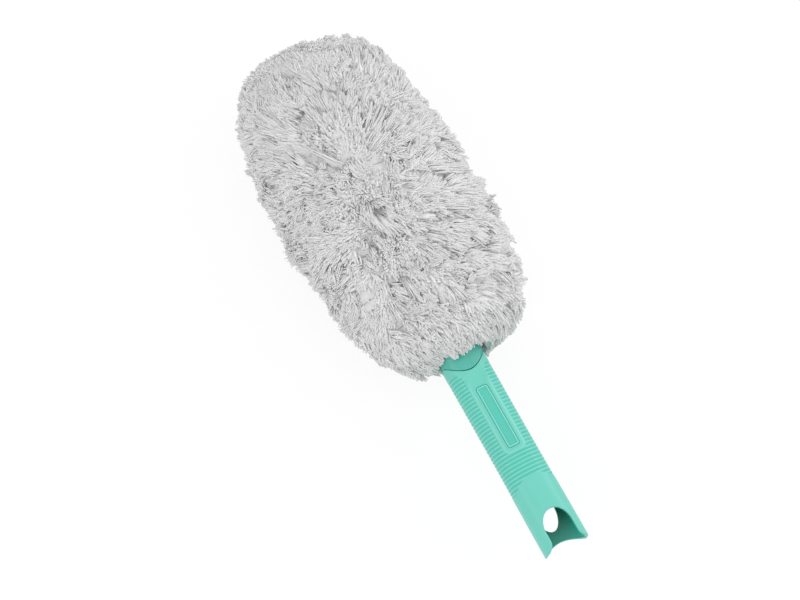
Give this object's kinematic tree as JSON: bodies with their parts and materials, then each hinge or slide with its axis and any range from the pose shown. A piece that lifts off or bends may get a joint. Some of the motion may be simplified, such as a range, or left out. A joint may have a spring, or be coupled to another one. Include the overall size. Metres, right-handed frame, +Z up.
{
  "type": "hand duster",
  "caption": "Hand duster with a hollow ribbed plastic grip, a head that clicks into it on a snap button, and a washable pile sleeve that pulls off.",
  "frame": {"origin": "middle of the duster's length and width, at the level of the surface it lies on", "axes": "+X along the handle towards the open tail of the grip, +Y across, +Z up from the surface, with the name plaque's bare frame on top"},
  "size_m": [0.405, 0.14, 0.093],
  "materials": {
    "mint_plastic": "satin, moulded, mint green",
    "carrier_plastic": "moulded, mint green",
    "spring_steel": "plain bent leaf",
    "backing_fabric": "woven backing, white",
    "elastic_band": "knitted elastic, white",
    "white_pile": "soft fibre pile, white"
  },
  "bodies": {
    "grip_body": {"grip": "mint_plastic", "head_carrier": "carrier_plastic", "snap_spring": "spring_steel"},
    "sleeve": {"sleeve_pocket": "backing_fabric", "elastic_cuff": "elastic_band", "pile_row_01": "white_pile", "pile_row_02": "white_pile", "pile_row_03": "white_pile", "pile_row_04": "white_pile", "pile_row_05": "white_pile", "pile_row_06": "white_pile", "pile_row_07": "white_pile", "pile_row_08": "white_pile", "pile_row_09": "white_pile"},
    "button": {"snap_button": "mint_plastic"}
  },
  "joints": [
    {"name": "sleeve_pull", "type": "slide", "parent": "grip_body", "child": "sleeve", "axis": [-1, 0, 0], "range_m": [0, 0.225], "deforming": ["elastic_cuff"]},
    {"name": "button_press", "type": "slide", "parent": "grip_body", "child": "button", "axis": [0, 0, 1], "range_m": [0, 0.0035], "stiffness_N_per_m": 1500, "deforming": ["snap_spring"]}
  ]
}
